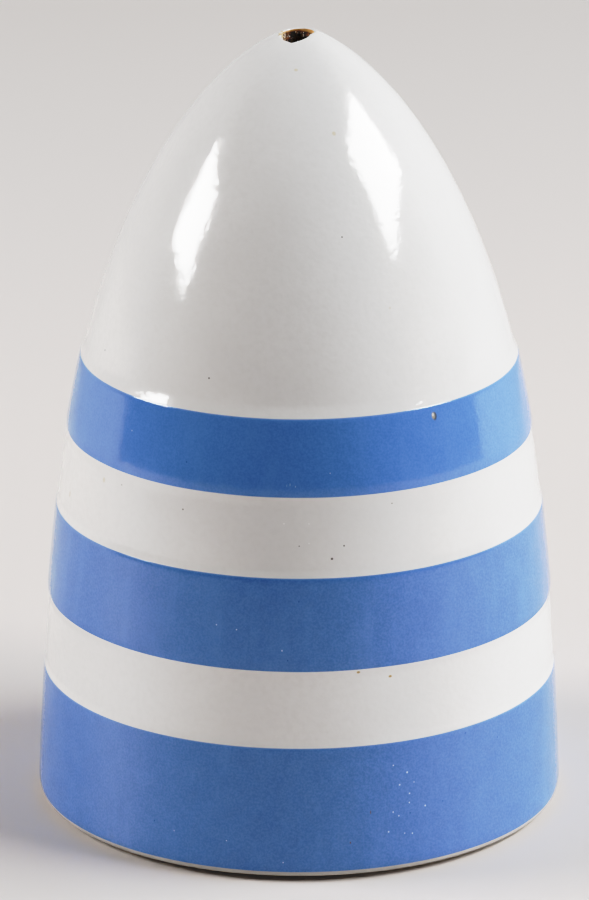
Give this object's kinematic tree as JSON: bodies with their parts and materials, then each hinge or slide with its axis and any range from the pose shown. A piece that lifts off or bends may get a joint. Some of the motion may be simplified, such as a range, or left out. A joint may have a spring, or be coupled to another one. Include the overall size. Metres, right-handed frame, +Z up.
{
  "type": "salt shaker",
  "caption": "Bullet-shaped glazed earthenware salt shaker with raised blue bands round its flank, a pour hole in its nose and a cork stopper in its base.",
  "frame": {"origin": "centre of the foot ring, on the table", "axes": "+Z up the axis of turning, from the foot to the pour hole; the shaker is round, so X and Y are free, and the picture looks along +Y"},
  "size_m": [0.0606, 0.0606, 0.0902],
  "materials": {
    "white_glaze": "clear gloss glaze over white earthenware",
    "blue_slip": "clear gloss glaze over blue slip",
    "cork": "bare cork"
  },
  "bodies": {
    "shaker": {"ceramic_body": "white_glaze", "upper_slip_band": "blue_slip", "middle_slip_band": "blue_slip", "lower_slip_band": "blue_slip"},
    "stopper": {"cork_stopper": "cork"}
  },
  "joints": [
    {"name": "stopper_pull", "type": "slide", "parent": "shaker", "child": "stopper", "axis": [0, 0, -1], "range_m": [0, 0.04]}
  ]
}
